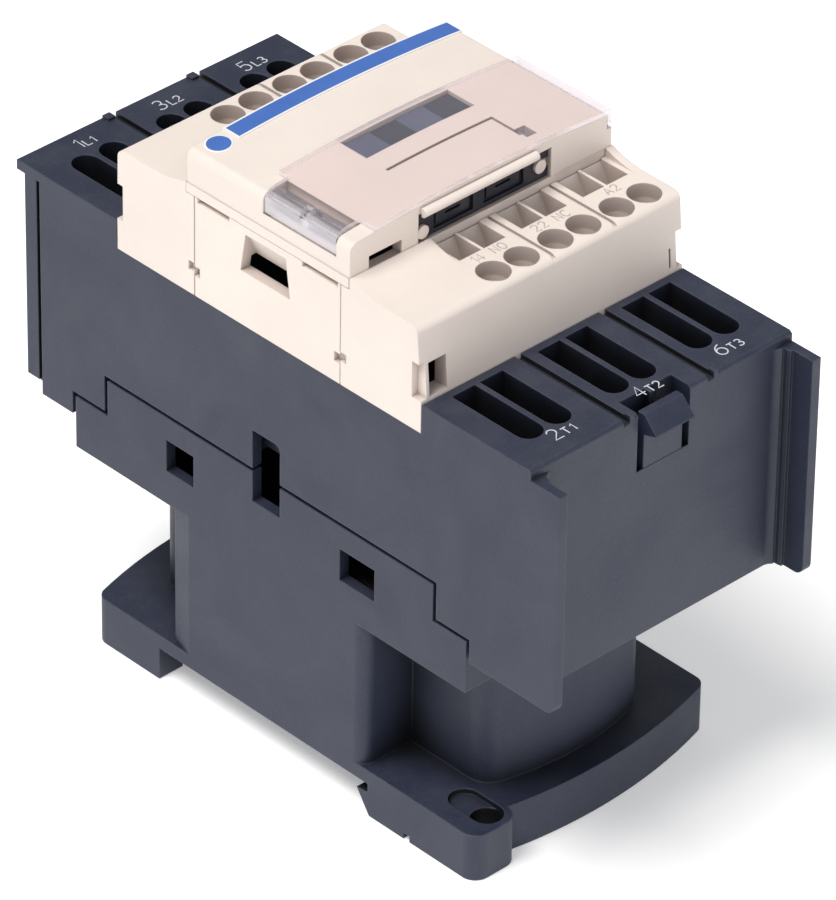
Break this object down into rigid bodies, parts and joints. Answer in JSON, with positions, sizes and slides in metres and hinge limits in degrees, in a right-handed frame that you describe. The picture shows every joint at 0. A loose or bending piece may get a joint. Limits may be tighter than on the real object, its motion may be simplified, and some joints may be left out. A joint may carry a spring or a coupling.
{
  "type": "din rail contactor",
  "caption": "Compact contactor for a DIN rail, with spring terminals at both ends, a stepped cream front and a hinged clear flap over its contact-position window.",
  "frame": {"origin": "centre of the footprint box on the mounting plane (backs of the two feet)", "axes": "+X along the DIN rail, +Y across the rail from the load terminals (2T1, 4T2, 6T3) to the line terminals (1L1, 3L2, 5L3), +Z away from the mounting plane to the front"},
  "size_m": [0.045, 0.099, 0.086],
  "materials": {
    "dark_plastic": "speckled dark blue-grey moulding, fine matt texture",
    "cream_plastic": "warm cream moulding, satin",
    "carrier_plastic": "navy thermoset moulding",
    "clear_plastic": "clear polycarbonate with a faint violet tint",
    "blue_label": "printed film label",
    "core_steel": "laminated sheet, ground pole faces",
    "spring_steel": "bright wire and strip",
    "contact_brass": "stamped contact copper alloy with silver tips",
    "coil_wire": "enamelled copper wire, side by side",
    "bobbin_plastic": "black glass-filled nylon",
    "rubber_pad": "black rubber"
  },
  "bodies": {
    "base": {"magnet_housing": "dark_plastic", "rail_clip_springs": "spring_steel", "core_pad": "rubber_pad", "fixed_core": "core_steel", "shading_rings": "contact_brass", "coil_bobbin": "bobbin_plastic", "coil_winding": "coil_wire", "coil_terminal_a1": "contact_brass", "coil_terminal_a2": "contact_brass", "return_springs": "spring_steel", "load_contact_1": "contact_brass", "load_contact_2": "contact_brass", "load_contact_3": "contact_brass", "line_contact_1": "contact_brass", "line_contact_2": "contact_brass", "line_contact_3": "contact_brass", "load_clamps_1": "spring_steel", "load_clamps_2": "spring_steel", "load_clamps_3": "spring_steel", "line_clamps_1": "spring_steel", "line_clamps_2": "spring_steel", "line_clamps_3": "spring_steel", "aux_contact_13": "contact_brass", "aux_contact_14": "contact_brass", "aux_contact_21": "contact_brass", "aux_contact_22": "contact_brass", "aux_clamps_near": "spring_steel", "aux_clamps_far": "spring_steel", "arc_plates_near": "core_steel", "arc_plates_far": "core_steel", "contact_housing": "dark_plastic", "near_terminal_floor": "dark_plastic", "far_terminal_floor": "dark_plastic", "arc_cover": "dark_plastic", "near_terminal_block": "cream_plastic", "far_terminal_block": "cream_plastic", "centre_frame": "cream_plastic", "front_cover": "cream_plastic", "flap_hinge_pin": "spring_steel", "label_band": "blue_label", "suppressor_socket": "dark_plastic", "socket_pins": "contact_brass"},
    "carrier": {"contact_carrier": "carrier_plastic", "armature": "core_steel", "armature_pin": "spring_steel", "bridge_spring_1": "spring_steel", "bridge_spring_2": "spring_steel", "bridge_spring_3": "spring_steel", "aux_spring_no": "spring_steel", "aux_spring_nc": "spring_steel"},
    "main_bridge_1": {"main_bridge_1": "contact_brass"},
    "main_bridge_2": {"main_bridge_2": "contact_brass"},
    "main_bridge_3": {"main_bridge_3": "contact_brass"},
    "aux_bridge_no": {"aux_bridge_no": "contact_brass"},
    "aux_bridge_nc": {"aux_bridge_nc": "contact_brass"},
    "flap": {"clear_flap": "clear_plastic"},
    "rail_clip": {"rail_clip": "dark_plastic"},
    "end_latch": {"end_latch": "dark_plastic"}
  },
  "joints": [
    {"name": "carrier_travel", "type": "slide", "parent": "base", "child": "carrier", "axis": [0, 0, -1], "range_m": [0, 0.0044], "stiffness_N_per_m": 400, "springref_m": -0.006, "deforming": ["return_springs"]},
    {"name": "main_bridge_1_travel", "type": "slide", "parent": "carrier", "child": "main_bridge_1", "axis": [0, 0, 1], "range_m": [0, 0.0011], "deforming": ["bridge_spring_1"]},
    {"name": "main_bridge_2_travel", "type": "slide", "parent": "carrier", "child": "main_bridge_2", "axis": [0, 0, 1], "range_m": [0, 0.0011], "deforming": ["bridge_spring_2"]},
    {"name": "main_bridge_3_travel", "type": "slide", "parent": "carrier", "child": "main_bridge_3", "axis": [0, 0, 1], "range_m": [0, 0.0011], "deforming": ["bridge_spring_3"]},
    {"name": "aux_bridge_no_travel", "type": "slide", "parent": "carrier", "child": "aux_bridge_no", "axis": [0, 0, 1], "range_m": [0, 0.0011], "deforming": ["aux_spring_no"]},
    {"name": "aux_bridge_nc_travel", "type": "slide", "parent": "carrier", "child": "aux_bridge_nc", "axis": [0, 0, 1], "range_m": [0, 0.0011], "deforming": ["aux_spring_nc"]},
    {"name": "flap_hinge", "type": "hinge", "parent": "base", "child": "flap", "pos_m": [-0.0207, 0, 0.0836], "axis": [0, -1, 0], "range_deg": [0, 100]},
    {"name": "rail_clip_slide", "type": "slide", "parent": "base", "child": "rail_clip", "axis": [0, 1, 0], "range_m": [0, 0.003], "stiffness_N_per_m": 1500, "springref_m": -0.002},
    {"name": "end_latch_flex", "type": "hinge", "parent": "base", "child": "end_latch", "pos_m": [0, -0.0435, 0.0589], "axis": [-1, 0, 0], "range_deg": [0, 5], "stiffness_Nm_per_rad": 0.05, "springref_deg": -8.59}
  ],
  "couplings": [
    {"joint": "main_bridge_1_travel", "follows": "carrier_travel", "ratio": 0.25},
    {"joint": "main_bridge_2_travel", "follows": "carrier_travel", "ratio": 0.25},
    {"joint": "main_bridge_3_travel", "follows": "carrier_travel", "ratio": 0.25},
    {"joint": "aux_bridge_no_travel", "follows": "carrier_travel", "ratio": 0.25},
    {"joint": "aux_bridge_nc_travel", "follows": "carrier_travel", "ratio": 0.25}
  ]
}
